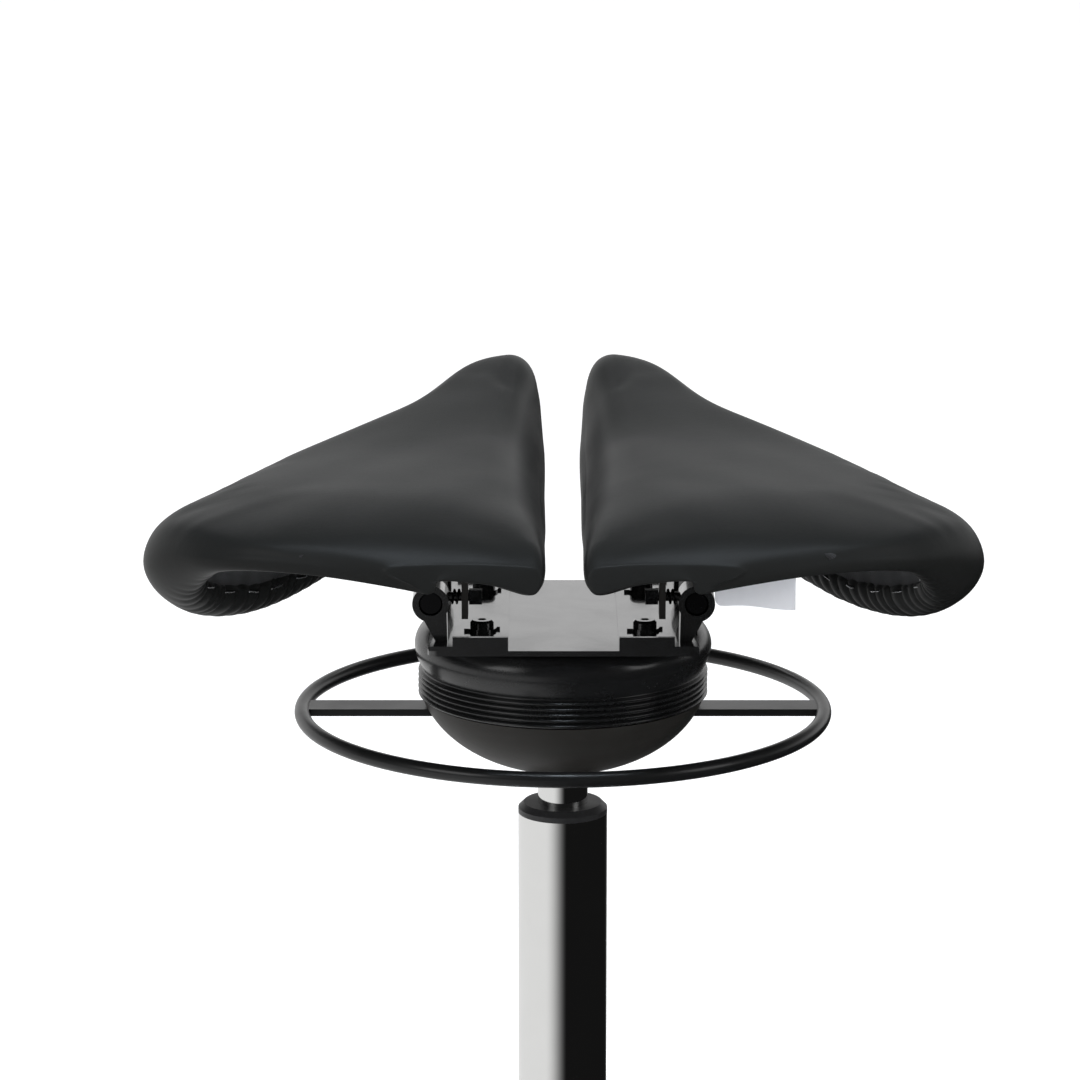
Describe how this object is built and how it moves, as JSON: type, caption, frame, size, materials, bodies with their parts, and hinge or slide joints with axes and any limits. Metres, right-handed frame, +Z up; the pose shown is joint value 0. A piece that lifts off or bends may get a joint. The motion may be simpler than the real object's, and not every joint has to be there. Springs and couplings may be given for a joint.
{
  "type": "saddle stool",
  "caption": "Split-seat saddle stool with a swinging seat carrier, ring height handle, gas column and star base on castors.",
  "frame": {"origin": "on the floor, on the gas column's axis", "axes": "+Z up along the column, +Y towards the seat's nose, +X to the sitter's right"},
  "size_m": [0.5832, 0.5546, 0.5816],
  "materials": {
    "polished_aluminium": "polished",
    "steel": "satin",
    "chrome": "polished",
    "black_plastic": "satin",
    "wheel_nylon": "satin",
    "seal_brass": "satin",
    "black_paint": "gloss",
    "satin_black_paint": "satin",
    "black_rubber": "gloss",
    "buffer_rubber": "matte",
    "cast_hub": "matte",
    "black_leather": "satin",
    "seat_foam": "matte",
    "shell_plastic": "matte",
    "label_fabric": "matte"
  },
  "bodies": {
    "base": {"base_star": "polished_aluminium", "castor_stems": "steel", "column_tube": "chrome", "guide_sleeve": "black_plastic", "thrust_bearing": "steel"},
    "rod": {"piston_rod": "steel", "piston_head": "seal_brass", "rod_clip": "steel"},
    "lift": {"gas_cylinder": "chrome", "cylinder_gland": "seal_brass", "tilt_hub": "cast_hub", "swing_bowl": "satin_black_paint", "buffer_shelf": "satin_black_paint", "rubber_buffers": "buffer_rubber"},
    "valve": {"valve_pin": "steel"},
    "handle": {"handle_ring": "black_paint", "handle_bar": "black_paint"},
    "gimbal": {"gimbal_ring": "steel", "gimbal_pins": "steel"},
    "carrier": {"swing_carrier": "satin_black_paint", "bellows": "black_rubber", "seat_plate": "black_paint", "plate_bolts": "black_paint", "side_bracket_left": "black_paint", "side_bracket_right": "black_paint", "hinge_pins": "steel", "limit_bolts": "black_paint", "limit_springs": "steel"},
    "seat_left": {"hinge_arm_left": "satin_black_paint", "seat_shell_left": "shell_plastic", "seat_foam_left": "seat_foam", "seat_cover_left": "black_leather", "seat_screws_left": "steel"},
    "seat_right": {"hinge_arm_right": "satin_black_paint", "seat_shell_right": "shell_plastic", "seat_foam_right": "seat_foam", "seat_cover_right": "black_leather", "seat_screws_right": "steel", "seat_label": "label_fabric"},
    "castor_0": {"castor_0_hood": "black_plastic", "castor_0_axle": "steel"},
    "castor_0_roller_left": {"castor_0_wheel_left": "wheel_nylon"},
    "castor_0_roller_right": {"castor_0_wheel_right": "wheel_nylon"},
    "castor_1": {"castor_1_hood": "black_plastic", "castor_1_axle": "steel"},
    "castor_1_roller_left": {"castor_1_wheel_left": "wheel_nylon"},
    "castor_1_roller_right": {"castor_1_wheel_right": "wheel_nylon"},
    "castor_2": {"castor_2_hood": "black_plastic", "castor_2_axle": "steel"},
    "castor_2_roller_left": {"castor_2_wheel_left": "wheel_nylon"},
    "castor_2_roller_right": {"castor_2_wheel_right": "wheel_nylon"},
    "castor_3": {"castor_3_hood": "black_plastic", "castor_3_axle": "steel"},
    "castor_3_roller_left": {"castor_3_wheel_left": "wheel_nylon"},
    "castor_3_roller_right": {"castor_3_wheel_right": "wheel_nylon"},
    "castor_4": {"castor_4_hood": "black_plastic", "castor_4_axle": "steel"},
    "castor_4_roller_left": {"castor_4_wheel_left": "wheel_nylon"},
    "castor_4_roller_right": {"castor_4_wheel_right": "wheel_nylon"}
  },
  "joints": [
    {"name": "column_swivel", "type": "hinge", "parent": "base", "child": "rod", "pos_m": [0, 0, 0.07], "axis": [0, 0, 1], "continuous": true},
    {"name": "column_lift", "type": "slide", "parent": "rod", "child": "lift", "axis": [0, 0, 1], "range_m": [0, 0.19]},
    {"name": "handle_tilt", "type": "hinge", "parent": "lift", "child": "handle", "pos_m": [-0.075, 0, 0.415], "axis": [0, 1, 0], "range_deg": [0, 2.5], "stiffness_Nm_per_rad": 25, "springref_deg": -2.29},
    {"name": "valve_press", "type": "slide", "parent": "lift", "child": "valve", "axis": [0, 0, -1], "range_m": [0, 0.0034], "stiffness_N_per_m": 200},
    {"name": "swing_pitch", "type": "hinge", "parent": "lift", "child": "gimbal", "pos_m": [0, 0, 0.3995], "axis": [1, 0, 0], "range_deg": [-6, 6], "stiffness_Nm_per_rad": 300, "deforming": ["bellows", "rubber_buffers"]},
    {"name": "swing_roll", "type": "hinge", "parent": "gimbal", "child": "carrier", "pos_m": [0, 0, 0.3995], "axis": [0, 1, 0], "range_deg": [-6, 6], "stiffness_Nm_per_rad": 300, "deforming": ["bellows", "rubber_buffers"]},
    {"name": "seat_left_tilt", "type": "hinge", "parent": "carrier", "child": "seat_left", "pos_m": [-0.072, 0, 0.492], "axis": [0, 1, 0], "range_deg": [-3, 3], "stiffness_Nm_per_rad": 250},
    {"name": "seat_right_tilt", "type": "hinge", "parent": "carrier", "child": "seat_right", "pos_m": [0.072, 0, 0.492], "axis": [0, 1, 0], "range_deg": [-3, 3], "stiffness_Nm_per_rad": 250},
    {"name": "castor_0_swivel", "type": "hinge", "parent": "base", "child": "castor_0", "pos_m": [0, 0.248, 0.07], "axis": [0, 0, 1], "continuous": true},
    {"name": "castor_0_roll_left", "type": "hinge", "parent": "castor_0", "child": "castor_0_roller_left", "pos_m": [0, 0.266, 0.029], "axis": [-1, 0, 0], "continuous": true},
    {"name": "castor_0_roll_right", "type": "hinge", "parent": "castor_0", "child": "castor_0_roller_right", "pos_m": [0, 0.266, 0.029], "axis": [-1, 0, 0], "continuous": true},
    {"name": "castor_1_swivel", "type": "hinge", "parent": "base", "child": "castor_1", "pos_m": [-0.23586, 0.07664, 0.07], "axis": [0, 0, 1], "continuous": true},
    {"name": "castor_1_roll_left", "type": "hinge", "parent": "castor_1", "child": "castor_1_roller_left", "pos_m": [-0.25298, 0.0822, 0.029], "axis": [-0.309, -0.9511, 0], "continuous": true},
    {"name": "castor_1_roll_right", "type": "hinge", "parent": "castor_1", "child": "castor_1_roller_right", "pos_m": [-0.25298, 0.0822, 0.029], "axis": [-0.309, -0.9511, 0], "continuous": true},
    {"name": "castor_2_swivel", "type": "hinge", "parent": "base", "child": "castor_2", "pos_m": [-0.14577, -0.20064, 0.07], "axis": [0, 0, 1], "continuous": true},
    {"name": "castor_2_roll_left", "type": "hinge", "parent": "castor_2", "child": "castor_2_roller_left", "pos_m": [-0.15635, -0.2152, 0.029], "axis": [0.809, -0.5878, 0], "continuous": true},
    {"name": "castor_2_roll_right", "type": "hinge", "parent": "castor_2", "child": "castor_2_roller_right", "pos_m": [-0.15635, -0.2152, 0.029], "axis": [0.809, -0.5878, 0], "continuous": true},
    {"name": "castor_3_swivel", "type": "hinge", "parent": "base", "child": "castor_3", "pos_m": [0.14577, -0.20064, 0.07], "axis": [0, 0, 1], "continuous": true},
    {"name": "castor_3_roll_left", "type": "hinge", "parent": "castor_3", "child": "castor_3_roller_left", "pos_m": [0.15635, -0.2152, 0.029], "axis": [0.809, 0.5878, 0], "continuous": true},
    {"name": "castor_3_roll_right", "type": "hinge", "parent": "castor_3", "child": "castor_3_roller_right", "pos_m": [0.15635, -0.2152, 0.029], "axis": [0.809, 0.5878, 0], "continuous": true},
    {"name": "castor_4_swivel", "type": "hinge", "parent": "base", "child": "castor_4", "pos_m": [0.23586, 0.07664, 0.07], "axis": [0, 0, 1], "continuous": true},
    {"name": "castor_4_roll_left", "type": "hinge", "parent": "castor_4", "child": "castor_4_roller_left", "pos_m": [0.25298, 0.0822, 0.029], "axis": [-0.309, 0.9511, 0], "continuous": true},
    {"name": "castor_4_roll_right", "type": "hinge", "parent": "castor_4", "child": "castor_4_roller_right", "pos_m": [0.25298, 0.0822, 0.029], "axis": [-0.309, 0.9511, 0], "continuous": true}
  ],
  "couplings": [
    {"joint": "valve_press", "follows": "handle_tilt", "m_per_rad": 0.075}
  ]
}
